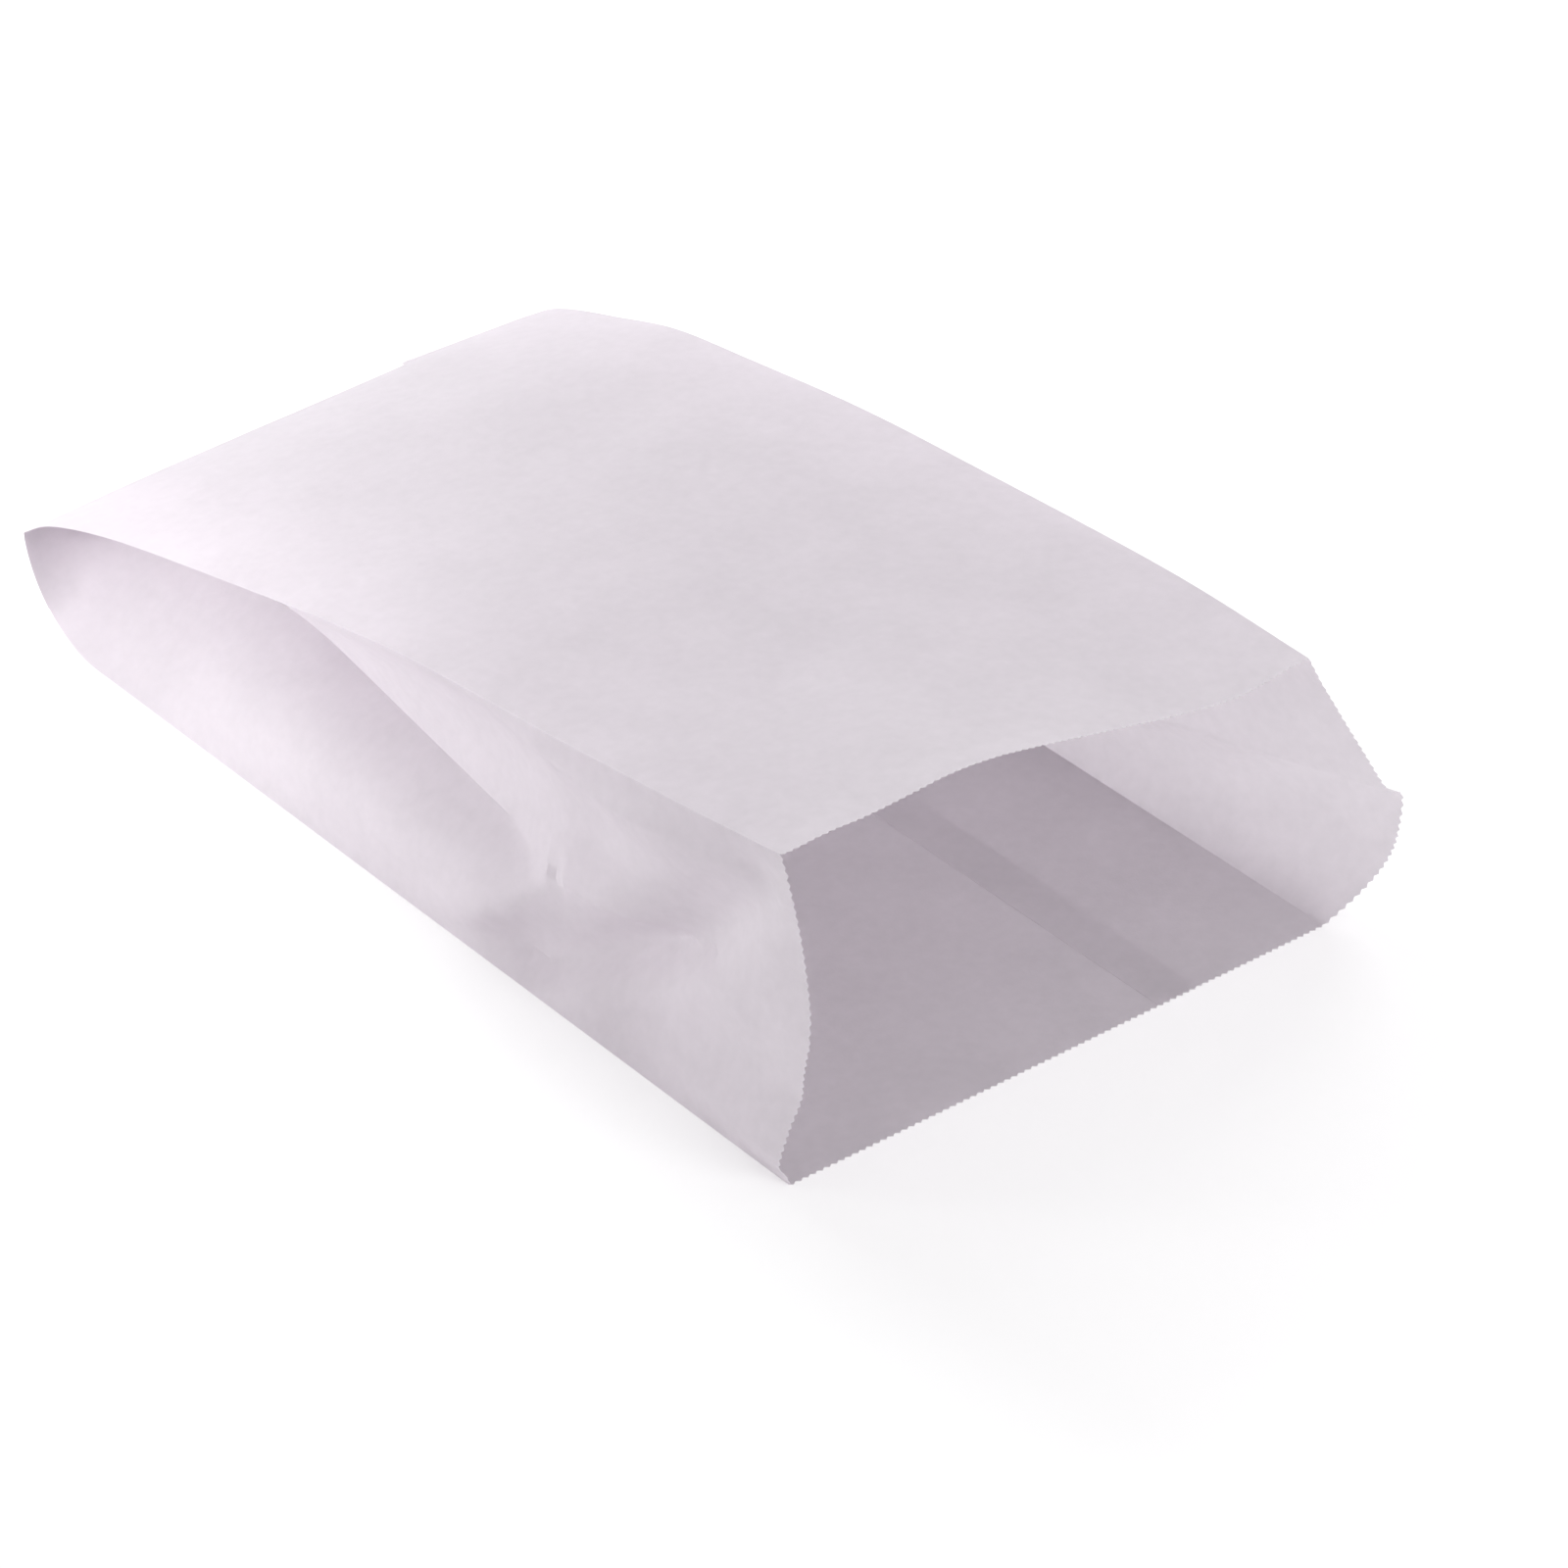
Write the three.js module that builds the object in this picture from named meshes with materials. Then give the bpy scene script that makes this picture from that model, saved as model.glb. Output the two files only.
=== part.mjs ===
// A white paper bag with gusseted sides, lying open on its back panel.
// Millimetres, +Z up. The mouth faces -Y and the glued end lies at +Y.
// The whole bag is one folded and glued sheet, so it is one solid.
import * as THREE from 'three';

// The bag as it leaves the folder
const panelWidth = 160;
const gussetDepth = 42;
const bagLength = 295;
const paper = 0.1;
const flapLength = 20;
const lapWidth = 12;
const lapInset = 40;
const toothPitch = 2;
const toothDepth = 0.7;

// How it stands when it is opened and laid down
const nearEndHeight = 24;
const farEndHeight = 29;
const endSkew = 5;
const curlRadius = 31;
const nearMouthHeight = 84;
const farMouthHeight = 71;
const nearMouthSetback = 4.6;
const farMouthSetback = 7.4;
const farPull = 10.5;
const nearFlare = 3.5;
const farLean = 7;
const crownHeight = 3;

// The middle crease of each gusset: straight to a kink, then straight to the mouth
const nearKinkTuck = 5.5;
const nearKinkRun = 201;
const nearKinkHeight = 33;
const nearCreaseReach = 3.4;
const nearCreaseTuck = 1.2;
const nearCreaseHeight = 38;
const farKinkTuck = 6;
const farKinkRun = 236;
const farKinkHeight = 31;
const farCreaseReach = 7.4;
const farCreaseOut = 9;
const farCreaseHeight = 36;

// Paper layers: the folded end is four thick, and the flap lies under it
const endLayers = 4;
const flapLayers = 4;

// Where the inside begins, and how closely the surface is divided
const cavityStart = 4;
const mouthBand = 6;
const endStep = 6;
const rowStep = 14;
const curlRows = 7;
const bottomColumns = 8;
const topColumns = 14;
const gussetColumns = 6;

// Shape of the two upper long edges, as shares of their run and of their rise
const nearEdgeShape = [
  [0, 0], [0.036, 0.107], [0.115, 0.243], [0.283, 0.44], [0.52, 0.68], [0.73, 0.81], [0.88, 0.91], [1, 1],
];
const farEdgeShape = [
  [0, 0], [0.035, 0.15], [0.13, 0.37], [0.2, 0.51], [0.3, 0.61], [0.45, 0.74], [0.6, 0.82], [0.84, 0.95], [1, 1],
];

// The wave of the front panel at the mouth, from its far edge to its near edge
const mouthWave = [[0, 0], [0.15, -3.5], [0.65, 4.4], [0.88, 1.2], [1, 0]];

// How far each half gusset bows out of flat, as shares of the length and of its own depth
const nearLowerBow = [[0, 0], [0.15, 0.06], [0.4, 0.19], [0.6, 0.17], [0.72, 0.02], [0.82, -0.06], [1, 0.07]];
const nearUpperBow = [[0, 0], [0.2, -0.02], [0.4, -0.08], [0.6, -0.14], [0.72, -0.09], [0.85, 0], [1, -0.03]];
const farLowerBow = [[0, 0], [0.2, 0.04], [0.5, 0.1], [0.75, 0.12], [1, 0.28]];
const farUpperBow = [[0, 0], [0.2, -0.02], [0.5, -0.08], [0.75, -0.08], [1, 0]];

const halfWidth = panelWidth / 2;
const halfEnd = (endLayers / 2) * paper;
const flapThickness = flapLayers * paper;
const lerp = THREE.MathUtils.lerp;

// A smooth line through [share, value] pairs
function smoothLine(pairs) {
  return (share) => {
    let k = 0;
    while (k < pairs.length - 2 && share > pairs[k + 1][0]) k += 1;
    const [x0, y0] = pairs[k];
    const [x1, y1] = pairs[k + 1];
    const t = THREE.MathUtils.clamp((share - x0) / (x1 - x0), 0, 1);
    return lerp(y0, y1, t * t * (3 - 2 * t));
  };
}

// The back panel: it curls down from the glued end in an arc and then lies flat.
// across runs from 0 at the near edge to 1 at the far edge, s from the glued end to the mouth.
// Its far side is drawn forward, so that the mouth stands square to the bag.
function bottomPoint(across, s) {
  const height = lerp(nearEndHeight, farEndHeight, across) - halfEnd;
  const angle = Math.acos(1 - height / curlRadius);
  const reach = s * (1 + farPull * across / bagLength);
  const left = Math.max(0, angle - reach / curlRadius);
  const flatRun = Math.max(0, reach - curlRadius * angle);
  return new THREE.Vector3(
    lerp(-halfWidth, halfWidth, across),
    endSkew * across - curlRadius * (Math.sin(angle) - Math.sin(left)) - flatRun,
    curlRadius * (1 - Math.cos(left)),
  );
}

// An upper long edge, walked by arc length
function upperEdge(across, endHeight, mouthHeight, shape, sideways) {
  const start = endHeight + halfEnd;
  const startY = endSkew * across;
  const setback = lerp(nearMouthSetback, farMouthSetback, across);
  const run = startY - bottomPoint(across, bagLength).y - setback;
  const points = shape.map(([along, up]) => new THREE.Vector3(
    lerp(-halfWidth, halfWidth, across) + sideways(along),
    startY - run * along,
    lerp(start, mouthHeight, up),
  ));
  const curve = new THREE.CatmullRomCurve3(points, false, 'centripetal');
  curve.arcLengthDivisions = 400;
  return (s) => curve.getPointAt(THREE.MathUtils.clamp(s / bagLength, 0, 1));
}
const nearUpperEdge = upperEdge(0, nearEndHeight, nearMouthHeight, nearEdgeShape, (along) => -nearFlare * along ** 2);
const farUpperEdge = upperEdge(1, farEndHeight, farMouthHeight, farEdgeShape, (along) => -farLean * along ** 4);

// A gusset's middle crease: two straight stretches that meet at the kink
function creaseLine(end, kink, mouth) {
  const first = end.distanceTo(kink);
  const share = first / (first + kink.distanceTo(mouth));
  const line = (s) => {
    const t = s / bagLength;
    return t < share
      ? end.clone().lerp(kink, t / share)
      : kink.clone().lerp(mouth, (t - share) / (1 - share));
  };
  line.kinkAt = share * bagLength;
  return line;
}
const nearCrease = creaseLine(
  new THREE.Vector3(-halfWidth + gussetDepth, 0, nearEndHeight),
  new THREE.Vector3(-halfWidth + nearKinkTuck, -nearKinkRun, nearKinkHeight),
  new THREE.Vector3(-halfWidth + nearCreaseTuck, bottomPoint(0, bagLength).y - nearCreaseReach, nearCreaseHeight),
);
const farCrease = creaseLine(
  new THREE.Vector3(halfWidth - gussetDepth, endSkew, farEndHeight),
  new THREE.Vector3(halfWidth - farKinkTuck, endSkew - farKinkRun, farKinkHeight),
  new THREE.Vector3(halfWidth + farCreaseOut, bottomPoint(1, bagLength).y - farCreaseReach, farCreaseHeight),
);

// The six folds, in the order in which the paper runs round the bag
const folds = [
  (s) => bottomPoint(0, s),
  (s) => bottomPoint(1, s),
  farCrease,
  farUpperEdge,
  nearUpperEdge,
  nearCrease,
];

// A half gusset: straight from fold to fold, bowed along its own outward normal
function bowedPanel(index, bow) {
  const bowAt = smoothLine(bow);
  const alongBag = new THREE.Vector3(0, -1, 0);
  return (w, s) => {
    const from = folds[index](s);
    const to = folds[(index + 1) % folds.length](s);
    const outward = to.clone().sub(from).cross(alongBag).normalize();
    const depth = bowAt(s / bagLength) * gussetDepth * Math.sin(Math.PI * w);
    return from.lerp(to, w).addScaledVector(outward, depth);
  };
}

// The front panel: a low crown behind, and a wave across it at the mouth
const waveAt = smoothLine(mouthWave);
function topPoint(w, s) {
  const share = s / bagLength;
  const root = Math.sqrt(share);
  const crown = crownHeight * 4 * root * (1 - root) * (1 - (2 * w - 1) ** 4);
  const wave = waveAt(w) * share ** 5;
  const point = farUpperEdge(s).lerp(nearUpperEdge(s), w);
  point.z += crown + wave;
  return point;
}

const panels = [
  { width: panelWidth, columns: bottomColumns, at: bottomPoint },
  { width: gussetDepth, columns: gussetColumns, at: bowedPanel(1, farLowerBow) },
  { width: gussetDepth, columns: gussetColumns, at: bowedPanel(2, farUpperBow) },
  { width: panelWidth, columns: topColumns, at: topPoint },
  { width: gussetDepth, columns: gussetColumns, at: bowedPanel(4, nearUpperBow) },
  { width: gussetDepth, columns: gussetColumns, at: bowedPanel(5, nearLowerBow) },
];

// Direction out of the paper at a point of a panel
function outwardAt(panel, w, s) {
  const reach = 0.002;
  const w0 = Math.max(0, w - reach);
  const w1 = Math.min(1, w + reach);
  const s0 = Math.max(0, s - 0.2);
  const s1 = Math.min(bagLength, s + 0.2);
  const across = panel.at(w1, s).sub(panel.at(w0, s));
  const along = panel.at(w, s1).sub(panel.at(w, s0));
  return across.cross(along).normalize();
}

// The lap of the tube seam, in the back panel. Outside, the edge of one sheet ends in a
// step as deep as the paper; inside, the edge of the other sheet does.
const lapFar = (panelWidth - lapInset) / panelWidth;
const lapNear = (panelWidth - lapInset - lapWidth) / panelWidth;
const lapFade = (panelWidth - lapInset + lapWidth) / panelWidth;
const outerLapSteps = [[lapFar, 0], [lapFar, paper], [lapFade, 0]];
const innerLapSteps = [[lapNear, 0], [lapNear, paper], [lapFar, paper], [lapFade, 0]];

function lapLift(steps, w) {
  for (let k = 0; k < steps.length - 1; k += 1) {
    const [w0, lift0] = steps[k];
    const [w1, lift1] = steps[k + 1];
    if (w > w0 && w < w1) return lerp(lift0, lift1, (w - w0) / (w1 - w0));
  }
  return 0;
}

// The shares at which a panel is divided, each with the lift that the lap gives it there
function divide(index, count, steps) {
  const list = [];
  for (let k = 0; k <= count; k += 1) list.push(k / count);
  if (index !== 0) return list.map((w) => [w, 0]);
  const clear = 0.4 / count;
  const kept = list.filter((w) => w === 0 || w === 1 || steps.every(([at]) => Math.abs(w - at) > clear));
  const plain = kept.map((w) => [w, lapLift(steps, w)]);
  return [...plain, ...steps].sort((p, q) => p[0] - q[0]);
}

// The serrated cut: 0 in the valleys between the teeth and 1 on their tips
function toothAt(panel, w) {
  const teeth = Math.max(1, Math.round(panel.width / toothPitch));
  const phase = (w * teeth) % 1;
  return 1 - Math.abs(2 * phase - 1);
}
const fineCount = (panel) => 2 * Math.max(1, Math.round(panel.width / toothPitch));

// The solid's points and triangles
const positions = [];
const triangles = [];

function addPoint(point, at) {
  positions.push(point.x, point.y, point.z);
  return { id: positions.length / 3 - 1, at };
}

function addTriangle(a, b, c, flip) {
  if (a.id === b.id || b.id === c.id || c.id === a.id) return;
  if (flip) triangles.push(a.id, c.id, b.id);
  else triangles.push(a.id, b.id, c.id);
}

// Joins two rows of points by a strip, whatever their counts
function stitch(rowA, rowB, flip = false) {
  let i = 0;
  let j = 0;
  while (i < rowA.length - 1 || j < rowB.length - 1) {
    const stepA = j === rowB.length - 1
      || (i < rowA.length - 1 && rowA[i + 1].at <= rowB[j + 1].at);
    if (stepA) {
      addTriangle(rowA[i], rowA[i + 1], rowB[j], flip);
      i += 1;
    } else {
      addTriangle(rowA[i], rowB[j + 1], rowB[j], flip);
      j += 1;
    }
  }
}

// The place of a point along the bag, on a straight row or on a row that is cut in teeth
const alongRow = (panel, w, valley, cut) => (cut ? valley + toothDepth * toothAt(panel, w) : valley);

// The back panel's share of one outer row, dropped by the flap's thickness where it is glued on
function bottomRow(s, cut, drop) {
  const count = cut ? fineCount(panels[0]) : bottomColumns;
  return divide(0, count, outerLapSteps).map(([w, lift]) => {
    const here = alongRow(panels[0], w, s, cut);
    const point = panels[0].at(w, here);
    if (drop !== lift) point.addScaledVector(outwardAt(panels[0], w, here), drop - lift);
    return addPoint(point, w * panelWidth);
  });
}

// One row of the outer surface: the back panel first, then the rest of the way round.
// Under the flap the two parts don't share their end points.
function outerRow(s, { underFlap = false, bottomCut = false, restCut = false } = {}) {
  const bottom = bottomRow(s, bottomCut, underFlap ? flapThickness : 0);
  const rest = [];
  let start = panelWidth;
  panels.slice(1).forEach((panel, k) => {
    const count = restCut ? fineCount(panel) : panel.columns;
    for (let n = k === 0 ? 0 : 1; n <= count; n += 1) {
      const w = n / count;
      const at = start + w * panel.width;
      const first = k === 0 && n === 0;
      const last = k === panels.length - 2 && n === count;
      if (!underFlap && first) rest.push({ id: bottom[bottom.length - 1].id, at });
      else if (!underFlap && last) rest.push({ id: bottom[0].id, at });
      else rest.push(addPoint(panel.at(w, alongRow(panel, w, s, restCut)), at));
    }
    start += panel.width;
  });
  return { bottom, rest };
}

// At a fold, how far the inner faces of the two panels meet from the outer edge,
// and whether the fold points out of the bag
function foldInside(index, s) {
  const before = panels[(index + panels.length - 1) % panels.length];
  const after = panels[index];
  const edge = after.at(0, s);
  const alongEdge = after.at(0, Math.min(bagLength, s + 0.2)).sub(after.at(0, Math.max(0, s - 0.2))).normalize();
  const level = (point) => {
    const arm = point.sub(edge);
    return arm.addScaledVector(alongEdge, -arm.dot(alongEdge)).normalize();
  };
  const armBefore = level(before.at(1 - 0.01, s));
  const armAfter = level(after.at(0.01, s));
  const outBefore = outwardAt(before, 1, s);
  const outAfter = outwardAt(after, 0, s);
  const spread = Math.acos(THREE.MathUtils.clamp(armBefore.dot(armAfter), -1, 1));
  const pointsOut = outBefore.clone().add(outAfter).dot(armBefore.clone().add(armAfter)) <= 0;
  const retreat = pointsOut ? paper / Math.tan(Math.max(spread / 2, 0.01)) : 0;
  return { before, after, edge, outBefore, outAfter, pointsOut, retreat };
}

// One row of the inner surface, a paper thickness inside the outer one
function innerRow(s, cut) {
  const corners = panels.map((panel, index) => foldInside(index, s));
  const cornerPoints = corners.map((corner) => {
    if (!corner.pointsOut) {
      const sum = corner.outBefore.clone().add(corner.outAfter);
      const miter = sum.multiplyScalar(-paper / Math.max(0.15, 1 + corner.outBefore.dot(corner.outAfter)));
      miter.clampLength(paper, 2.5 * paper);
      return corner.edge.clone().add(miter);
    }
    const wBefore = 1 - corner.retreat / corner.before.width;
    const wAfter = corner.retreat / corner.after.width;
    const one = corner.before.at(wBefore, s)
      .addScaledVector(outwardAt(corner.before, wBefore, s), -paper);
    const two = corner.after.at(wAfter, s)
      .addScaledVector(outwardAt(corner.after, wAfter, s), -paper);
    return one.lerp(two, 0.5);
  });
  let start = 0;
  const row = [];
  panels.forEach((panel, index) => {
    const next = (index + 1) % panels.length;
    const from = corners[index].retreat / panel.width;
    const to = 1 - corners[next].retreat / panel.width;
    const count = cut ? fineCount(panel) : panel.columns;
    divide(index, count, innerLapSteps).forEach(([w, lift]) => {
      const at = start + w * panel.width;
      if (w === 1) return;
      if (w === 0) {
        row.push(addPoint(cornerPoints[index], at));
        return;
      }
      const inside = lerp(from, to, w);
      const here = alongRow(panel, w, s, cut);
      const point = panel.at(inside, here)
        .addScaledVector(outwardAt(panel, inside, here), -paper - lift);
      row.push(addPoint(point, at));
    });
    start += panel.width;
  });
  row.push({ id: row[0].id, at: start });
  return row;
}

// Closes a ring of points by triangles that face the given way. flat holds the ring's
// outline on a plane, in the same order.
function addCap(ring, flat, facing) {
  const corner = (id) => new THREE.Vector3(positions[3 * id], positions[3 * id + 1], positions[3 * id + 2]);
  const faces = THREE.ShapeUtils.triangulateShape(flat, []);
  const sum = new THREE.Vector3();
  faces.forEach(([a, b, c]) => {
    const base = corner(ring[a].id);
    sum.add(corner(ring[b].id).sub(base).cross(corner(ring[c].id).sub(base)));
  });
  const flip = sum.dot(facing) < 0;
  faces.forEach(([a, b, c]) => addTriangle(ring[a], ring[b], ring[c], flip));
}

// The outline of a row across the bag, with each panel leaning a little into the paper or
// the hollow that it bounds, so that no triangle has its three corners on one panel
function rowOutline(levels, lean) {
  const sides = [-halfWidth, halfWidth, halfWidth - gussetDepth, halfWidth, -halfWidth, gussetDepth - halfWidth];
  const starts = [0];
  panels.forEach((panel) => starts.push(starts[starts.length - 1] + panel.width));
  return (at) => {
    const k = Math.min(panels.length - 1, starts.findIndex((begin, n) => at < starts[n + 1]));
    const index = k < 0 ? panels.length - 1 : k;
    const next = (index + 1) % panels.length;
    const w = (at - starts[index]) / panels[index].width;
    return new THREE.Vector2(
      lerp(sides[index], sides[next], w),
      lerp(levels[index], levels[next], w) + lean[index] * Math.sin(Math.PI * w),
    );
  };
}

// The places along the bag at which the surface has a row
const flapValley = flapLength - toothDepth;
const fixedRows = [cavityStart, flapValley, nearCrease.kinkAt, farCrease.kinkAt];
const evenRows = [];
for (let k = 1; k <= curlRows; k += 1) evenRows.push(k * endStep);
const straightStart = curlRows * endStep;
const straightCount = Math.max(1, Math.round((bagLength - mouthBand - straightStart) / rowStep));
for (let k = 1; k <= straightCount; k += 1) {
  evenRows.push(lerp(straightStart, bagLength - mouthBand, k / straightCount));
}
const clearOfFixed = evenRows.filter((s) => fixedRows.every((at) => Math.abs(s - at) > 2));
const rowPlaces = [0, ...fixedRows, ...clearOfFixed].sort((p, q) => p - q);

// The outer surface, with the glued flap under the back panel
const flapRow = rowPlaces.indexOf(flapValley);
const outerRows = rowPlaces.map((s, k) => outerRow(s, { underFlap: k <= flapRow, bottomCut: k === flapRow }));
const lastOf = (row) => row[row.length - 1];
const sideStep = (from, to) => [{ id: from.id, at: 0 }, { id: to.id, at: 1 }];
for (let k = 0; k < outerRows.length - 1; k += 1) {
  const here = outerRows[k];
  const next = outerRows[k + 1];
  stitch(here.rest, next.rest);
  if (k < flapRow) {
    stitch(sideStep(lastOf(here.rest), here.bottom[0]), sideStep(lastOf(next.rest), next.bottom[0]));
    stitch(sideStep(lastOf(here.bottom), here.rest[0]), sideStep(lastOf(next.bottom), next.rest[0]));
  }
  if (k !== flapRow) stitch(here.bottom, next.bottom);
}

// The flap's serrated edge, one step in to the back panel
const flapEdge = outerRows[flapRow];
const underEdge = bottomRow(flapValley, true, 0);
underEdge[0] = { id: lastOf(flapEdge.rest).id, at: 0 };
underEdge[underEdge.length - 1] = { id: flapEdge.rest[0].id, at: panelWidth };
stitch(flapEdge.bottom, underEdge);
stitch(underEdge, outerRows[flapRow + 1].bottom);

// The inner surface
const innerRows = rowPlaces.filter((s) => s >= cavityStart).map((s) => innerRow(s, false));
for (let k = 0; k < innerRows.length - 1; k += 1) stitch(innerRows[k], innerRows[k + 1], true);

// The serrated mouth, outside, inside and across the cut
const mouthValley = bagLength - toothDepth;
const cutOuter = outerRow(mouthValley, { bottomCut: true, restCut: true });
const cutInner = innerRow(mouthValley, true);
stitch(lastOf(outerRows).bottom, cutOuter.bottom);
stitch(lastOf(outerRows).rest, cutOuter.rest);
stitch(lastOf(innerRows), cutInner, true);
stitch([...cutOuter.bottom, ...cutOuter.rest.slice(1)], cutInner);

// The folded end, and the end of the inside, where the layers come together
const endRow = outerRows[0];
const perimeter = panels.reduce((sum, panel) => sum + panel.width, 0);
const endOutline = rowOutline([-10, -10, 0, 10, 10, 0], [1, -1, 1, -1, 1, -1]);
// Two points on one place, at the lap's step, are drawn a little apart
const drawApart = (row) => row.map(({ at }, k) => (k > 0 && row[k - 1].at === at ? at + 0.05 : at));
const underOutline = (at) => new THREE.Vector2(at - halfWidth, -30 + Math.sin(Math.PI * at / panelWidth));
const endRest = endRow.rest.map(({ at }) => (at < perimeter ? endOutline(at) : new THREE.Vector2(-halfWidth, -10)));
addCap([...endRow.bottom, ...endRow.rest], [...drawApart(endRow.bottom).map(underOutline), ...endRest],
  new THREE.Vector3(0, 1, 0));
const cavityOutline = rowOutline([-40, -40, 0, 40, 40, 0], [1, -1, 1, -1, 1, -1]);
const cavityRing = innerRows[0].slice(0, -1);
addCap(cavityRing, drawApart(cavityRing).map(cavityOutline), new THREE.Vector3(0, -1, 0));

// The mesh, centred over its own bounding box, with its lowest point at z = 0
const geometry = new THREE.BufferGeometry();
geometry.setAttribute('position', new THREE.Float32BufferAttribute(positions, 3));
geometry.setIndex(triangles);
geometry.computeBoundingBox();
const box = geometry.boundingBox;
geometry.translate(-(box.min.x + box.max.x) / 2, -(box.min.y + box.max.y) / 2, -box.min.z);
geometry.computeVertexNormals();

const whitePaper = new THREE.MeshStandardMaterial({ color: 0xece7ee, roughness: 0.85, metalness: 0 });
const bag = new THREE.Mesh(geometry, whitePaper);
bag.name = 'paper_bag';

const group = new THREE.Group();
group.add(bag);
export default group;
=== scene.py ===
# %% [markdown]
# A paper bag is one sheet. It is cut flat, glued into a tube along one lap, pressed flat with
# a gusset in each side, and closed by folding one end over and gluing it down. The model is
# made in that order too: a flat grid is cut to the blank, given its teeth, and then folded
# by moving each vertex from its flat place to its place on the opened bag.

# %% Load the fixed frame
import math
import bpy
from mathutils import Matrix, Vector, noise


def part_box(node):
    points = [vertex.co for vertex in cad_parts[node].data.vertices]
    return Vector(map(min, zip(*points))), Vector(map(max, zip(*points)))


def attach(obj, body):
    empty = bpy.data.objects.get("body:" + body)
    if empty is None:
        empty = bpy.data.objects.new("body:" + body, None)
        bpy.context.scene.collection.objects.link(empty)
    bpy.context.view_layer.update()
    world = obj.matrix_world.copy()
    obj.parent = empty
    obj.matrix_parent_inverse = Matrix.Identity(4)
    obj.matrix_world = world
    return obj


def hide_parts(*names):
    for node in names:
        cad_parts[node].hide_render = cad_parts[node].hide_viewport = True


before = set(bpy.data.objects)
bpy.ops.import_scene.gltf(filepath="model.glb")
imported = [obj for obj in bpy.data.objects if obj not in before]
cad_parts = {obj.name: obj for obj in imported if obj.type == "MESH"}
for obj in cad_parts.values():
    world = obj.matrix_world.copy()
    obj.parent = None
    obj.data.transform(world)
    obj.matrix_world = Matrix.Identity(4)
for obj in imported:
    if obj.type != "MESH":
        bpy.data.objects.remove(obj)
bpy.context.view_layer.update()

node_low, node_high = (Vector(corner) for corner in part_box("paper_bag"))

# %% [markdown]
# ## The sizes of the bag
# All lengths are in metres. The first group is the bag as it leaves the folding machine, and
# the second is how it stands when it has been opened and laid on its back panel. They are
# the same values that the solid part is built from, so both describe one bag.

# %% Driving sizes
mm = 0.001
panel_width = 160 * mm
gusset_depth = 42 * mm
bag_length = 295 * mm
paper = 0.1 * mm
flap_length = 20 * mm
lap_width = 12 * mm
lap_inset = 40 * mm
tooth_depth = 0.7 * mm

near_end_height = 24 * mm
far_end_height = 29 * mm
end_skew = 5 * mm
curl_radius = 31 * mm
near_mouth_height = 84 * mm
far_mouth_height = 71 * mm
near_mouth_setback = 4.6 * mm
far_mouth_setback = 7.4 * mm
far_pull = 10.5 * mm
near_flare = 3.5 * mm
far_lean = 7 * mm
crown_height = 3 * mm

half_width = panel_width / 2
half_end = 2 * paper
perimeter = 2 * panel_width + 4 * gusset_depth
print("flat bag:", round(panel_width / mm), "x", round(bag_length / mm), "mm,",
      round(perimeter / mm), "mm round")

# %% [markdown]
# ## The folds
# Six lines run from the glued end to the mouth: the two edges of the back panel, the two
# edges of the front panel, and the middle crease of each gusset. Everything between them is
# paper that has to follow, so these lines are settled first. The back panel rolls down from
# the glued end in an arc and then lies flat on the table.

# %% Small helpers for smooth lines
def mix(a, b, t):
    return a + (b - a) * t


def smooth_line(pairs, x):
    k = 0
    while k < len(pairs) - 2 and x > pairs[k + 1][0]:
        k += 1
    (x0, y0), (x1, y1) = pairs[k], pairs[k + 1]
    t = min(1.0, max(0.0, (x - x0) / (x1 - x0)))
    return mix(y0, y1, t * t * (3 - 2 * t))


# %% The back panel
def back_panel(across, s):
    height = mix(near_end_height, far_end_height, across) - half_end
    angle = math.acos(1 - height / curl_radius)
    reach = s * (1 + far_pull * across / bag_length)
    left = max(0.0, angle - reach / curl_radius)
    flat_run = max(0.0, reach - curl_radius * angle)
    return Vector((
        mix(-half_width, half_width, across),
        end_skew * across - curl_radius * (math.sin(angle) - math.sin(left)) - flat_run,
        curl_radius * (1 - math.cos(left)),
    ))


mouth_y = back_panel(0, bag_length).y
print("mouth lies", round(-mouth_y / mm, 1), "mm from the glued end")

# %% [markdown]
# The two upper edges rise steeply from the glued end and then ever more gently. Each is a
# smooth curve through a few points, walked by its own length, so that the paper is spread
# evenly along it. The points are shares of the edge's run and of its rise.

# %% The two upper edges
near_edge_shape = [(0, 0), (0.036, 0.107), (0.115, 0.243), (0.283, 0.44),
                   (0.52, 0.68), (0.73, 0.81), (0.88, 0.91), (1, 1)]
far_edge_shape = [(0, 0), (0.035, 0.15), (0.13, 0.37), (0.2, 0.51), (0.3, 0.61),
                  (0.45, 0.74), (0.6, 0.82), (0.84, 0.95), (1, 1)]


def curve_through(points, steps=40):
    ends = [2 * points[0] - points[1], *points, 2 * points[-1] - points[-2]]
    walked = []
    for a, b, c, d in zip(ends, ends[1:], ends[2:], ends[3:]):
        ab, bc, cd = ((q - p).length ** 0.5 for p, q in ((a, b), (b, c), (c, d)))
        leave = bc * ((b - a) / ab - (c - a) / (ab + bc) + (c - b) / bc)
        reach = bc * ((c - b) / bc - (d - b) / (bc + cd) + (d - c) / cd)
        for k in range(steps):
            t = k / steps
            walked.append((2 * t**3 - 3 * t**2 + 1) * b + (t**3 - 2 * t**2 + t) * leave
                          + (3 * t**2 - 2 * t**3) * c + (t**3 - t**2) * reach)
    walked.append(points[-1])
    lengths = [0.0]
    for p, q in zip(walked, walked[1:]):
        lengths.append(lengths[-1] + (q - p).length)
    return walked, [length / lengths[-1] for length in lengths]


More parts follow.
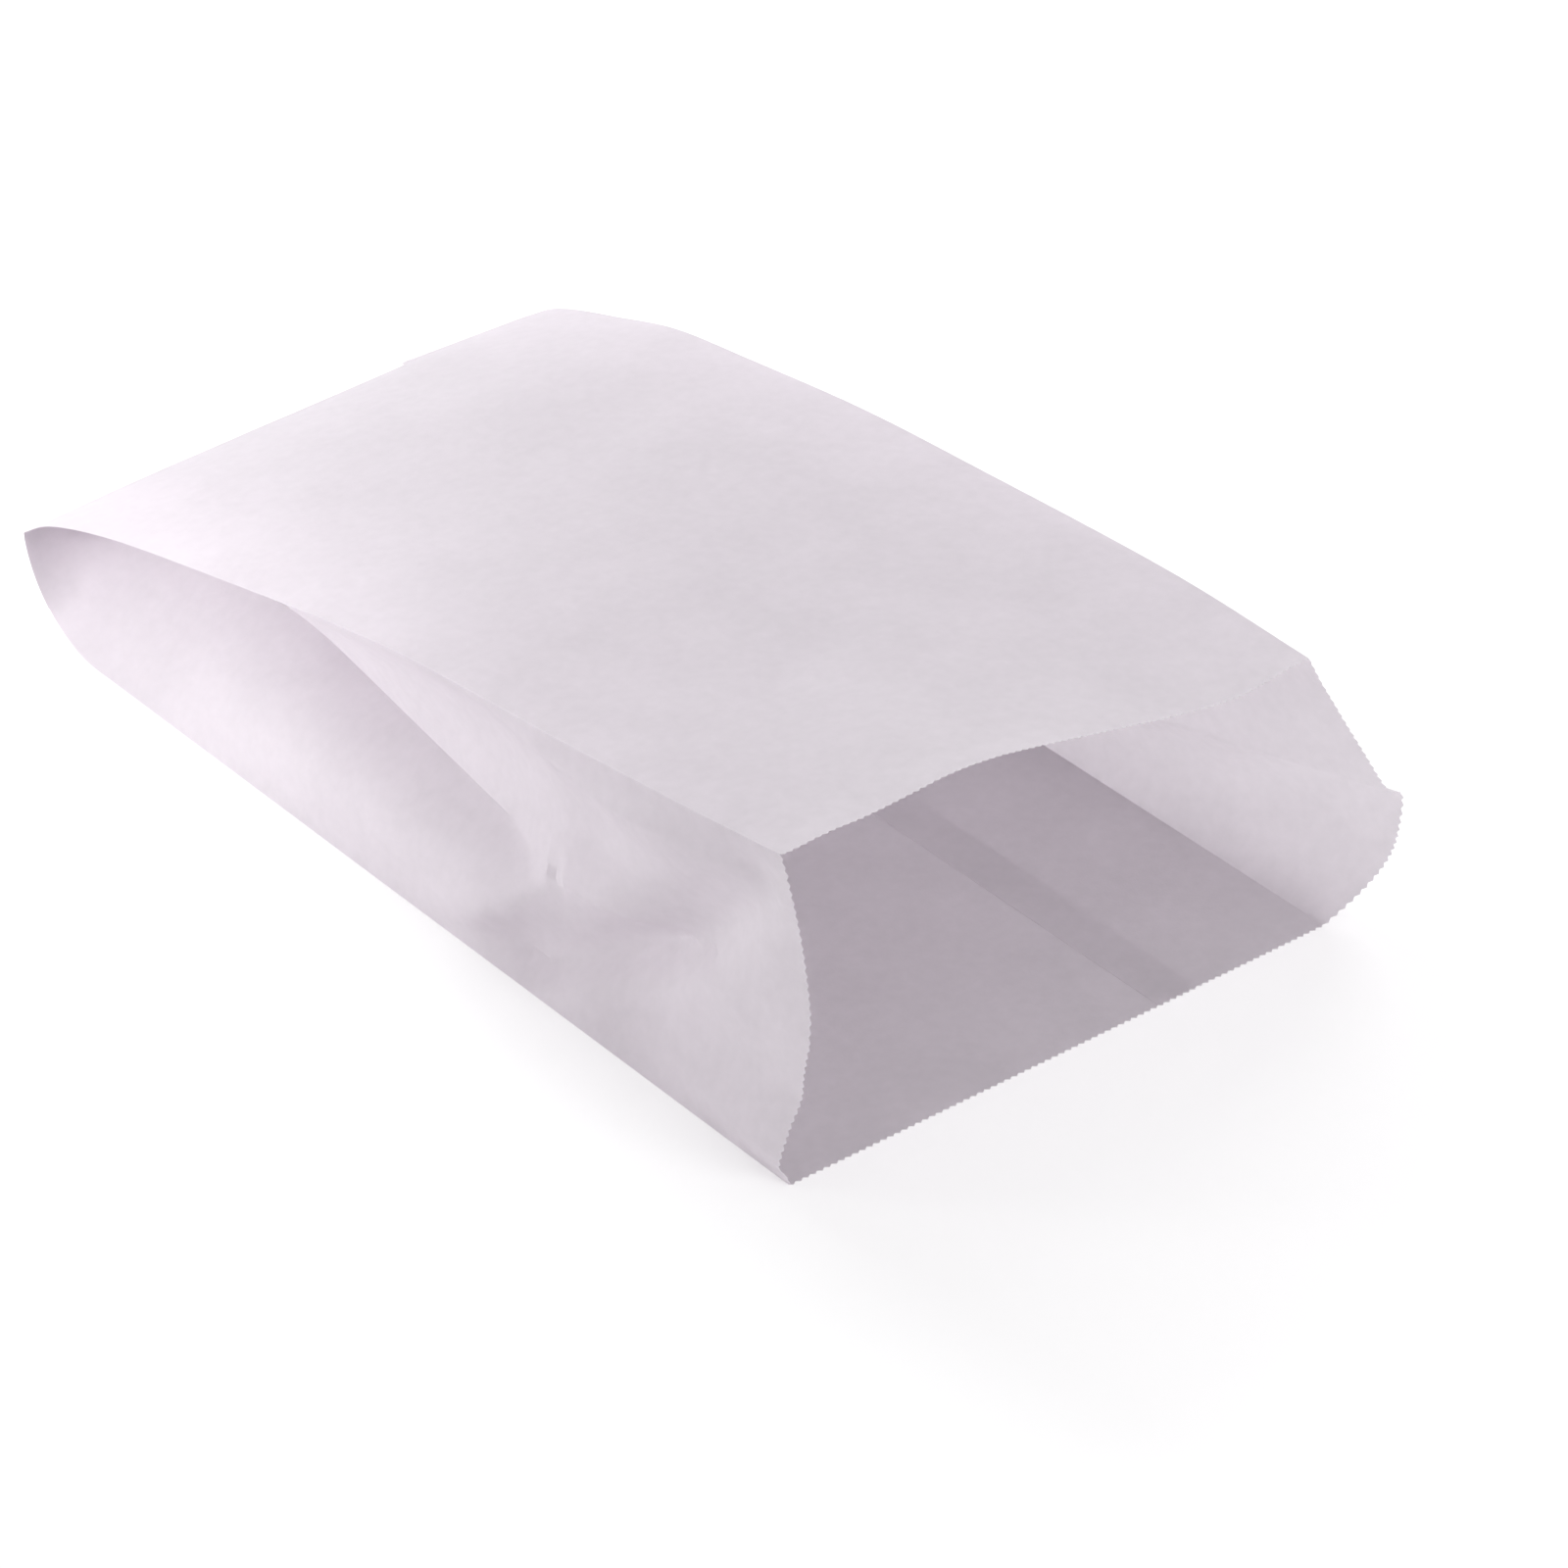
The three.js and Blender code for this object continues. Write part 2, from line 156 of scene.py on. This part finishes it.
def walk(curve, share):
    walked, shares = curve
    low, high = 0, len(shares) - 1
    while high - low > 1:
        middle = (low + high) // 2
        if shares[middle] <= share:
            low = middle
        else:
            high = middle
    return walked[low].lerp(walked[high], (share - shares[low]) / (shares[high] - shares[low]))


def upper_edge(across, end_height, mouth_height, shape, sideways):
    start_y = end_skew * across
    run = start_y - back_panel(across, bag_length).y - mix(near_mouth_setback, far_mouth_setback, across)
    return curve_through([
        Vector((mix(-half_width, half_width, across) + sideways(along), start_y - run * along,
                mix(end_height + half_end, mouth_height, up)))
        for along, up in shape])


near_edge = upper_edge(0, near_end_height, near_mouth_height, near_edge_shape,
                       lambda x: -near_flare * x**2)
far_edge = upper_edge(1, far_end_height, far_mouth_height, far_edge_shape,
                      lambda x: -far_lean * x**4)

# %% [markdown]
# The middle crease of a gusset is pressed in hard, so it stays straight where the rest of
# the paper bows. It starts deep between the layers at the glued end, comes outwards in a
# straight line, buckles once, and runs straight on to the mouth.

# %% The two middle creases
def crease_line(end, kink, mouth):
    first = (kink - end).length
    share = first / (first + (mouth - kink).length)
    return lambda t: (end.lerp(kink, t / share) if t < share
                      else kink.lerp(mouth, (t - share) / (1 - share)))


near_crease = crease_line(
    Vector((-half_width + gusset_depth, 0, near_end_height)),
    Vector((-half_width + 5.5 * mm, -201 * mm, 33 * mm)),
    Vector((-half_width + 1.2 * mm, mouth_y - 3.4 * mm, 38 * mm)))
far_crease = crease_line(
    Vector((half_width - gusset_depth, end_skew, far_end_height)),
    Vector((half_width - 6 * mm, end_skew - 236 * mm, 31 * mm)),
    Vector((half_width + 9 * mm, back_panel(1, bag_length).y - 7.4 * mm, 36 * mm)))


def folds_at(s):
    share = s / bag_length
    return [back_panel(0, s), back_panel(1, s), far_crease(share), walk(far_edge, share),
            walk(near_edge, share), near_crease(share)]


# %% [markdown]
# ## The panels between the folds
# A half gusset has more paper than the straight way between its folds needs, so it bows.
# The front panel carries a low crown behind and a slow wave at the mouth, high on the near
# side and slack on the far side.

# %% Bows, crown and wave
lower_near_bow = [(0, 0), (0.15, 0.06), (0.4, 0.19), (0.6, 0.17), (0.72, 0.02), (0.82, -0.06), (1, 0.07)]
upper_near_bow = [(0, 0), (0.2, -0.02), (0.4, -0.08), (0.6, -0.14), (0.72, -0.09), (0.85, 0), (1, -0.03)]
lower_far_bow = [(0, 0), (0.2, 0.04), (0.5, 0.1), (0.75, 0.12), (1, 0.28)]
upper_far_bow = [(0, 0), (0.2, -0.02), (0.5, -0.08), (0.75, -0.08), (1, 0)]
mouth_wave = [(0, 0), (0.15, -3.5 * mm), (0.65, 4.4 * mm), (0.88, 1.2 * mm), (1, 0)]
bows = {1: lower_far_bow, 2: upper_far_bow, 4: upper_near_bow, 5: lower_near_bow}

panel_starts = [0, panel_width, panel_width + gusset_depth, panel_width + 2 * gusset_depth,
                2 * panel_width + 2 * gusset_depth, 2 * panel_width + 3 * gusset_depth, perimeter]


def find_panel(a):
    index = 0
    while index < 5 and a >= panel_starts[index + 1] - 1e-9:
        index += 1
    width = panel_starts[index + 1] - panel_starts[index]
    return index, (a - panel_starts[index]) / width


def panel_point(index, w, s, folds):
    share = s / bag_length
    if index == 0:
        return back_panel(w, s)
    if index == 3:
        root = math.sqrt(share)
        point = folds[3].lerp(folds[4], w)
        point.z += crown_height * 4 * root * (1 - root) * (1 - (2 * w - 1) ** 4)
        point.z += smooth_line(mouth_wave, w) * share**5
        return point
    start, end = folds[index], folds[(index + 1) % 6]
    outward = (end - start).cross(Vector((0, -1, 0))).normalized()
    bow = smooth_line(bows[index], share) * gusset_depth * math.sin(math.pi * w)
    return start.lerp(end, w) + outward * bow


# %% [markdown]
# ## Creases, dents and slack
# What tells paper from sheet metal is what happens off the folds. Each mark below is a
# stroke on the flat sheet, from point to point, with a width to either side and a depth
# along the paper's own normal: below zero it is pressed into the bag, above zero it stands
# proud. Places are written as millimetres round the sheet and along it.

# %% The marks on the sheet
marks = [
    {"name": "valley across the near side", "depth": -9.0, "wide": (11, 6),
     "line": [(492, 194), (477, 209), (459, 231), (450, 243), (439, 257), (430, 268), (420, 281)]},
    {"name": "near crease standing proud of the valley", "depth": 4.2, "wide": (13, 5),
     "line": [(447, 200), (446, 222), (445, 246)]},
    {"name": "soft fold under the near top edge", "depth": 3.6, "wide": (5.5, 8),
     "line": [(402, 180), (410, 215), (412, 232), (413, 254), (417, 274)]},
    {"name": "ridge from the pinch to the buckle", "depth": 2.2, "wide": (10, 4),
     "line": [(478, 184), (466, 194), (456, 201), (446, 209), (440, 214)]},
    {"name": "near crease opened out at the mouth", "depth": 0.9, "wide": (4, 4),
     "line": [(446, 318), (446, 268)]},
    {"name": "lower half drawn in at the mouth", "depth": -2.0, "wide": (6.5, 6),
     "line": [(461, 318), (461, 262)]},
    {"name": "buckle in the near crease", "depth": -2.4, "wide": (1.5, 1.8),
     "line": [(441, 208), (446, 208), (452, 207)]},
    {"name": "pinch, raised side", "depth": 1.0, "wide": (2.2, 1.6),
     "line": [(478, 185), (473, 189), (469, 192)]},
    {"name": "pinch, hollow side", "depth": -1.3, "wide": (3, 3),
     "line": [(481, 193), (475, 198), (469, 203)]},
    {"name": "short crease at the table", "depth": -1.2, "wide": (1.8, 1.8),
     "line": [(488, 202), (482, 200), (476, 203)]},
    {"name": "faint crease near the mouth", "depth": 0.6, "wide": (1.6, 3.5),
     "line": [(448, 264), (450, 270), (452, 279)]},
    {"name": "dimple near the table", "depth": -1.2, "wide": (2.4, 2.4),
     "line": [(485, 231), (483, 234)]},
    {"name": "rolled corner at the mouth", "depth": 2.8, "wide": (6, 7),
     "line": [(480, 316), (480, 255)]},
    {"name": "hollow in the front panel", "depth": -1.0, "wide": (22, 22),
     "line": [(352, 222), (341, 240)]},
    {"name": "nick in the front panel", "depth": -0.5, "wide": (2.0, 2.0),
     "line": [(346, 234), (345, 238), (343, 244)]},
    {"name": "far crease stands out at the mouth", "depth": 3.6, "wide": (3.5, 6),
     "line": [(198, 316), (198, 262)]},
    {"name": "slack in the far side of the front panel", "depth": -0.8, "wide": (20, 20),
     "line": [(262, 120), (268, 190)]},
]


def stroke(mark, a, s):
    best = None
    total = len(mark["line"]) - 1
    for k, ((a0, s0), (a1, s1)) in enumerate(zip(mark["line"], mark["line"][1:])):
        da, ds = a1 - a0, s1 - s0
        along = ((a - a0) * da + (s - s0) * ds) / (da * da + ds * ds)
        held = min(1.0, max(0.0, along))
        off_a, off_s = a - a0 - held * da, s - s0 - held * ds
        gap = math.hypot(off_a, off_s)
        if best is None or gap < best[0]:
            best = (gap, da * off_s - ds * off_a > 0, (k + held) / total)
    gap, left, share = best
    wide = mark["wide"][0 if left else 1]
    if gap > 3 * wide:
        return 0.0
    taper = 0.35 + 0.65 * math.sin(math.pi * min(1.0, max(0.0, share)))
    return mark["depth"] * taper * math.exp(-((gap / wide) ** 2))


# %% [markdown]
# Under the marks lies a slow unevenness that every handled sheet has. It fades out at the
# four outer folds, which stay crisp, and on the back panel, which lies on the table.

# %% The unevenness of handled paper
crisp_at_folds = 7 * mm
crisp_at_creases = 4 * mm
crisp_at_end = 25 * mm
slow_height = 0.9
quick_height = 0.2


def off_the_folds(a):
    outer = [0, panel_width, panel_starts[3], panel_starts[4], perimeter]
    return min(1.0, min(abs(a - edge) for edge in outer) / crisp_at_folds)


def off_the_creases(a):
    return min(1.0, min(abs(a - panel_starts[2]), abs(a - panel_starts[5])) / crisp_at_creases)


def relief(index, a, s):
    if index == 0:
        return 0.0
    fade = off_the_folds(a) * min(1.0, s / crisp_at_end)
    slow = slow_height * noise.noise(Vector((a * 19, s * 13, 0.3)))
    quick = quick_height * noise.noise(Vector((a * 75, s * 58, 4.1)))
    wrinkles = sum(stroke(mark, a / mm, s / mm) for mark in marks)
    return mm * fade * ((slow + quick) * off_the_creases(a) + wrinkles)


# %% [markdown]
# ## The blank
# The sheet starts at the lap in the back panel, runs once round the bag and ends on top of
# its own beginning. Its columns are two millimetres wide, so that every fold falls on one.

# %% Add the flat sheet as a grid
column = 2 * mm
sheet_width = perimeter + lap_width
columns = round(sheet_width / column)
flap_rows = 10
body_rows = 134
lap_start = panel_width - lap_inset - lap_width

bpy.ops.object.select_all(action="DESELECT")
bpy.ops.mesh.primitive_grid_add(x_subdivisions=columns, y_subdivisions=flap_rows + body_rows, size=1)
bag = bpy.context.object
bag.name = "bag_sheet"
bpy.ops.object.mode_set(mode="EDIT")
bpy.ops.mesh.select_all(action="SELECT")
bpy.ops.transform.translate(value=(0.5, 0.5, 0))
bpy.ops.transform.resize(value=(columns, flap_rows + body_rows, 1), center_override=(0, 0, 0))
bpy.ops.object.mode_set(mode="OBJECT")
for vertex in bag.data.vertices:
    x, row = vertex.co.x, vertex.co.y - flap_rows
    along = row * flap_length / flap_rows if row < 0 else row * bag_length / body_rows
    vertex.co = (x * column, along, 0)
print("blank:", round(sheet_width / mm), "x", round((bag_length + flap_length) / mm), "mm,",
      len(bag.data.polygons), "faces")

# %% [markdown]
# The end that is folded over is four layers thick, but only the front panel's layer shows,
# on the outside of the flap. The layers inside it would never be seen, so they are cut off.

# %% Trim the hidden layers of the flap
def edit_selected(faces=(), edges=()):
    for vertex in bag.data.vertices:
        vertex.select = False
    for edge in bag.data.edges:
        edge.select = False
    for face in bag.data.polygons:
        face.select = False
    for item in (*faces, *edges):
        item.select = True
    bpy.ops.object.mode_set(mode="EDIT")


def on_sheet(flat_x):
    a = (lap_start + flat_x) % perimeter
    return perimeter if a < 1e-9 and flat_x > panel_width else a


def inside_flap(face):
    on_front_panel = panel_starts[3] < on_sheet(face.center.x) < panel_starts[4]
    return face.center.y < 0 and not on_front_panel


bpy.context.tool_settings.mesh_select_mode = (False, False, True)
edit_selected(faces=[face for face in bag.data.polygons if inside_flap(face)])
bpy.ops.mesh.delete(type="FACE")
bpy.ops.object.mode_set(mode="OBJECT")
print("faces left:", len(bag.data.polygons))

# %% [markdown]
# ## The serrated cuts
# The mouth and the edge of the flap are cut by a toothed knife. Each edge of the cut gets
# one new point in its middle, and the old points are drawn back to make the valleys.

# %% Cut the teeth
bpy.context.tool_settings.mesh_select_mode = (False, True, False)
corners = [vertex.co.copy() for vertex in bag.data.vertices]


def lies_on(edge, along):
    return all(abs(corners[k].y - along) < 0.1 * mm for k in edge.vertices)


edit_selected(edges=[edge for edge in bag.data.edges
                     if lies_on(edge, bag_length) or lies_on(edge, -flap_length)])
bpy.ops.mesh.subdivide(number_cuts=1)
bpy.ops.object.mode_set(mode="OBJECT")
teeth = 0
for vertex in bag.data.vertices:
    at_end = abs(vertex.co.y - bag_length) < 0.1 * mm or abs(vertex.co.y + flap_length) < 0.1 * mm
    if not at_end:
        continue
    if abs(vertex.co.x / column - round(vertex.co.x / column)) < 0.1:
        vertex.co.y -= math.copysign(tooth_depth, vertex.co.y)
    else:
        teeth += 1
print("teeth cut:", teeth)

# %% [markdown]
# ## Folding the sheet
# A cloth simulation could crumple a sheet too, but it wouldn't put each crease where this
# bag has it, so every place is worked out from the folds. Each vertex knows its flat place,
# which is kept as the piece's UV map, in metres, for a finish that should follow the sheet
# round its folds. Then the vertex is moved: first to its panel, then off it by the relief,
# the lap or the flap.

# %% Keep the flat places as a UV map
flat_places = [(vertex.co.x, vertex.co.y) for vertex in bag.data.vertices]
while bag.data.uv_layers:
    bag.data.uv_layers.remove(bag.data.uv_layers[0])
flat_map = bag.data.uv_layers.new(name="flat_sheet")
for loop in bag.data.loops:
    flat_map.data[loop.index].uv = flat_places[loop.vertex_index]


# %% Fold every vertex to its place
def outward_at(index, w, s, folds):
    step_w, step_s = 0.004, 0.5 * mm
    s0, s1 = max(0.0, s - step_s), min(bag_length, s + step_s)
    w0, w1 = max(0.0, w - step_w), min(1.0, w + step_w)
    round_bag = panel_point(index, w1, s, folds) - panel_point(index, w0, s, folds)
    if s not in around:
        around[s] = (folds_at(s0), folds_at(s1))
    before, after = around[s]
    down_bag = panel_point(index, w, s1, after) - panel_point(index, w, s0, before)
    return round_bag.cross(down_bag).normalized()


around = {}
fold_rows = {}
flap_clearance = 2.5 * paper
lap_clearance = 1.15 * paper


def folded(flat_x, flat_y):
    a = on_sheet(flat_x)
    index, w = find_panel(a)
    s = max(0.0, flat_y)
    if s not in fold_rows:
        fold_rows[s] = folds_at(s)
    folds = fold_rows[s]
    if flat_y < 0:
        across = 1 - (a - panel_starts[3]) / panel_width
        under = -flat_y
        if under not in fold_rows:
            fold_rows[under] = folds_at(under)
        normal = outward_at(0, across, under, fold_rows[under])
        return back_panel(across, under) + normal * flap_clearance
    point = panel_point(index, w, s, folds)
    lift = relief(index, a, s)
    if flat_x < 2 * lap_width:
        lift -= lap_clearance * min(1.0, 2 - flat_x / lap_width)
    if lift:
        point += outward_at(index, w, s, folds) * lift
    return point


places = [folded(x, y) for x, y in flat_places]
plain_low = [min(place[k] for place in places) for k in range(3)]
plain_high = [max(place[k] for place in places) for k in range(3)]
print("folded box in mm:", [round(v / mm, 1) for v in (*plain_low, *plain_high)])

# %% [markdown]
# The folding was worked out from the near end of the glued seam. The frame has its origin
# under the middle of the bag, so the folded sheet is moved there: the near top corner of
# the mouth, the far end of the seam and the table touch the sides of the bag's box.

# %% Set the bag in the frame
flap_drop = 4 * paper
bag_offset = Vector((node_low.x + half_width + near_flare, node_high.y - end_skew - flap_drop,
                     node_low.z))
for vertex, place in zip(bag.data.vertices, places):
    vertex.co = place + bag_offset
bag.data.update()
print("offset in mm:", [round(v / mm, 2) for v in bag_offset])

# %% Turn the faces outwards and give the paper its thickness
top_face = max(bag.data.polygons, key=lambda face: face.center.z)
if top_face.normal.z < 0:
    edit_selected()
    bpy.ops.mesh.select_all(action="SELECT")
    bpy.ops.mesh.flip_normals()
    bpy.ops.object.mode_set(mode="OBJECT")
solidify = bag.modifiers.new("paper thickness", "SOLIDIFY")
solidify.thickness = paper
solidify.offset = -1
bpy.ops.object.modifier_apply(modifier=solidify.name)
bpy.ops.object.shade_smooth_by_angle(angle=math.radians(32))
print("bag faces:", len(bag.data.polygons))

# %% [markdown]
# ## The paper
# White bag paper is thin and matt. It scatters light rather than shining, lets some of the
# light behind it through, and shows a faint cloud of fibres. Transmission on the plain
# surface shader would bend light as glass does, so a translucent shader is mixed in, which
# scatters it. The cloud and the tooth of the surface are one node group, so each can be set
# by its own value in the material.

# %% Fibre cloud and tooth as a node group
def fibre_group():
    group = bpy.data.node_groups.new("paper_fibres", "ShaderNodeTree")
    for name, kind, start in (("Colour", "NodeSocketColor", (0.85, 0.85, 0.85, 1)),
                              ("Cloud", "NodeSocketFloat", 0.03), ("Tooth", "NodeSocketFloat", 0.1)):
        socket = group.interface.new_socket(name, in_out="INPUT", socket_type=kind)
        socket.default_value = start
    group.interface.new_socket("Colour", in_out="OUTPUT", socket_type="NodeSocketColor")
    group.interface.new_socket("Roughness", in_out="OUTPUT", socket_type="NodeSocketFloat")
    group.interface.new_socket("Normal", in_out="OUTPUT", socket_type="NodeSocketVector")
    return group


fibres = fibre_group()
nodes, links = fibres.nodes, fibres.links
take = nodes.new("NodeGroupInput")
give = nodes.new("NodeGroupOutput")
places_in = nodes.new("ShaderNodeTexCoord")


def noise_node(scale, detail, rough):
    node = nodes.new("ShaderNodeTexNoise")
    node.inputs["Scale"].default_value = scale
    node.inputs["Detail"].default_value = detail
    node.inputs["Roughness"].default_value = rough
    links.new(places_in.outputs["Object"], node.inputs["Vector"])
    return node


def maths(tree, kind, *values):
    node = tree.nodes.new("ShaderNodeMath")
    node.operation = kind
    for socket, value in zip(node.inputs, values):
        if isinstance(value, (int, float)):
            socket.default_value = value
        else:
            tree.links.new(value, socket)
    return node.outputs[0]


cloud = noise_node(320, 5, 0.62)
drift = noise_node(45, 3, 0.5)
tooth = noise_node(1900, 4, 0.6)
specks = noise_node(2600, 1, 0.4)

fine_share = maths(fibres, "MULTIPLY", cloud.outputs["Fac"], 0.6)
coarse_share = maths(fibres, "MULTIPLY", drift.outputs["Fac"], 0.4)
centred = maths(fibres, "SUBTRACT", maths(fibres, "ADD", fine_share, coarse_share), 0.5)
swing = maths(fibres, "MULTIPLY", take.outputs["Cloud"], 2.0)
shade = maths(fibres, "ADD", maths(fibres, "MULTIPLY", centred, swing), 1.0)
tint = nodes.new("ShaderNodeMix")
tint.data_type = "RGBA"
tint.blend_type = "MULTIPLY"
tint.inputs["Factor"].default_value = 1.0
links.new(take.outputs["Colour"], tint.inputs["A"])
shade_colour = nodes.new("ShaderNodeCombineColor")
for channel in ("Red", "Green", "Blue"):
    links.new(shade, shade_colour.inputs[channel])
links.new(shade_colour.outputs["Color"], tint.inputs["B"])
links.new(tint.outputs["Result"], give.inputs["Colour"])

speckle = maths(fibres, "MULTIPLY", specks.outputs["Fac"], 0.12)
links.new(maths(fibres, "ADD", speckle, 0.8), give.inputs["Roughness"])

bump = nodes.new("ShaderNodeBump")
bump.inputs["Distance"].default_value = 0.05 * mm
links.new(take.outputs["Tooth"], bump.inputs["Strength"])
swell = maths(fibres, "MULTIPLY", cloud.outputs["Fac"], 1.5)
links.new(maths(fibres, "ADD", tooth.outputs["Fac"], swell), bump.inputs["Height"])
links.new(bump.outputs["Normal"], give.inputs["Normal"])
print("fibre group nodes:", len(nodes))

# %% White bag paper
paper_white = (0.91, 0.884, 0.908, 1)
white_paper = bpy.data.materials.new("white_bag_paper")
white_paper.use_nodes = True
tree = white_paper.node_tree
surface = tree.nodes["Principled BSDF"]
surface.inputs["Metallic"].default_value = 0.0
surface.inputs["Specular IOR Level"].default_value = 0.25
grain = tree.nodes.new("ShaderNodeGroup")
grain.node_tree = fibres
grain.inputs["Colour"].default_value = paper_white
grain.inputs["Cloud"].default_value = 0.08
grain.inputs["Tooth"].default_value = 0.5
tree.links.new(grain.outputs["Colour"], surface.inputs["Base Color"])
tree.links.new(grain.outputs["Roughness"], surface.inputs["Roughness"])
tree.links.new(grain.outputs["Normal"], surface.inputs["Normal"])
through = tree.nodes.new("ShaderNodeBsdfTranslucent")
tree.links.new(grain.outputs["Colour"], through.inputs["Color"])
tree.links.new(grain.outputs["Normal"], through.inputs["Normal"])
blend_light = tree.nodes.new("ShaderNodeMixShader")
blend_light.inputs["Fac"].default_value = 0.66
tree.links.new(surface.outputs["BSDF"], blend_light.inputs[1])
tree.links.new(through.outputs["BSDF"], blend_light.inputs[2])
tree.links.new(blend_light.outputs["Shader"], tree.nodes["Material Output"].inputs["Surface"])
bag.data.materials.append(white_paper)

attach(bag, "root")
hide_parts("paper_bag")

# %% [markdown]
# ## Floor, light and camera
# The bag lies on a plain white floor. What looks straight at the floor sees it a little
# brighter than the light makes it, so that it reads as white while the shadow under the bag
# stays. The floor and the sky behind it both need to know which rays look straight at them,
# so that is a helper: a light path's camera, glossy and transmission rays count as looking,
# but not the rays that thin paper has scattered, which are transmitted and diffuse at once.

# %% Which rays look straight at the background
def looks_straight(tree):
    rays = tree.nodes.new("ShaderNodeLightPath").outputs
    clear = maths(tree, "SUBTRACT", rays["Is Transmission Ray"], rays["Is Diffuse Ray"])
    mirrored = maths(tree, "MAXIMUM", rays["Is Camera Ray"], rays["Is Glossy Ray"])
    return maths(tree, "MAXIMUM", mirrored, clear)


# %% The floor
floor_glow = 0.33
bpy.ops.mesh.primitive_plane_add(size=8, location=(0, 0, -0.02 * mm))
floor = bpy.context.object
floor.name = "floor"
floor_white = bpy.data.materials.new("floor_white")
floor_white.use_nodes = True
tree = floor_white.node_tree
matt = tree.nodes["Principled BSDF"]
matt.inputs["Base Color"].default_value = (0.75, 0.75, 0.75, 1)
matt.inputs["Roughness"].default_value = 0.9
glow = tree.nodes.new("ShaderNodeEmission")
glow.inputs["Color"].default_value = (1, 1, 1, 1)
tree.links.new(maths(tree, "MULTIPLY", looks_straight(tree), floor_glow), glow.inputs["Strength"])
added = tree.nodes.new("ShaderNodeAddShader")
tree.links.new(matt.outputs["BSDF"], added.inputs[0])
tree.links.new(glow.outputs["Emission"], added.inputs[1])
tree.links.new(added.outputs["Shader"], tree.nodes["Material Output"].inputs["Surface"])
floor.data.materials.append(floor_white)

# %% [markdown]
# The light is soft and comes mostly from behind the bag. An even sky fills it from all round,
# and is plain white to whatever looks straight at it. Four lamps shape the rest: a large one
# like a window behind the bag, which lets the closed end shine, one behind its far side whose
# light comes through the paper, one at the pocket of the closed end with its beam narrowed,
# and one that reaches into the mouth.

# %% The sky
sky_light = 0.66
scene = bpy.context.scene
scene.view_settings.view_transform = "Standard"
world = bpy.data.worlds.new("studio")
scene.world = world
world.use_nodes = True
tree = world.node_tree
sky = tree.nodes["Background"]
sky.inputs["Color"].default_value = (1, 0.985, 1, 1)
backdrop = tree.nodes.new("ShaderNodeMix")
backdrop.data_type = "FLOAT"
tree.links.new(looks_straight(tree), backdrop.inputs["Factor"])
backdrop.inputs["A"].default_value = sky_light
backdrop.inputs["B"].default_value = 1.0
tree.links.new(backdrop.outputs["Result"], sky.inputs["Strength"])


# %% The lamps
def soft_light(name, place, aim, size, watts, beam=180, colour=(1, 1, 1)):
    bpy.ops.object.light_add(type="AREA", location=place)
    lamp = bpy.context.object
    lamp.name = name
    lamp.data.shape = "DISK"
    lamp.data.size = size
    lamp.data.energy = watts
    lamp.data.spread = math.radians(beam)
    lamp.data.color = colour
    lamp.rotation_mode = "QUATERNION"
    lamp.rotation_quaternion = (Vector(aim) - Vector(place)).to_track_quat("-Z", "Y")
    print(name, "at", [round(v, 2) for v in place], watts, "W")


soft_light("window", (0.05, 0.7, 0.5), (0, 0.04, 0.03), 0.4, 4.1, colour=(0.95, 1.0, 0.97))
soft_light("back_light", (0.7, 0.3, 0.36), (0.05, 0.02, 0.03), 0.5, 1.9)
soft_light("side_light", (-0.4, 0.19, 0.11), (-0.06, 0.11, 0.02), 0.15, 0.26, 80)
soft_light("mouth_fill", (0.14, -0.85, 0.28), (0, -0.12, 0.01), 0.4, 2.0)

# %% [markdown]
# The camera looks along the photograph's line of sight, worked out from the bag's straight
# folds: a long lens, about a third of a right angle above the table, a little rolled.

# %% The camera
focal_pixels = 5765.89
picture_width = 1600
elevation, azimuth, roll = (math.radians(v) for v in (33.56, -42.51, 3.05))
distance = 1325.54 * mm
aim = Vector((19.58, -27.32 - 139, 0)) * mm + bag_offset
aim.z = 0
back = Vector((math.sin(azimuth) * math.cos(elevation), -math.cos(azimuth) * math.cos(elevation),
               math.sin(elevation)))
level = Vector((math.cos(azimuth), math.sin(azimuth), 0))
upright = back.cross(level)
right = level * math.cos(roll) + upright * math.sin(roll)
up = upright * math.cos(roll) - level * math.sin(roll)
bpy.ops.object.camera_add(location=aim + back * distance)
camera = bpy.context.object
camera.rotation_mode = "QUATERNION"
turn = [[right[k], up[k], back[k]] for k in range(3)]
camera.rotation_quaternion = Matrix(turn).to_quaternion()
camera.data.sensor_width = 36
camera.data.lens = focal_pixels / picture_width * camera.data.sensor_width
camera.data.clip_start, camera.data.clip_end = 0.05, 20
scene.camera = camera
print("lens:", round(camera.data.lens, 1), "mm")
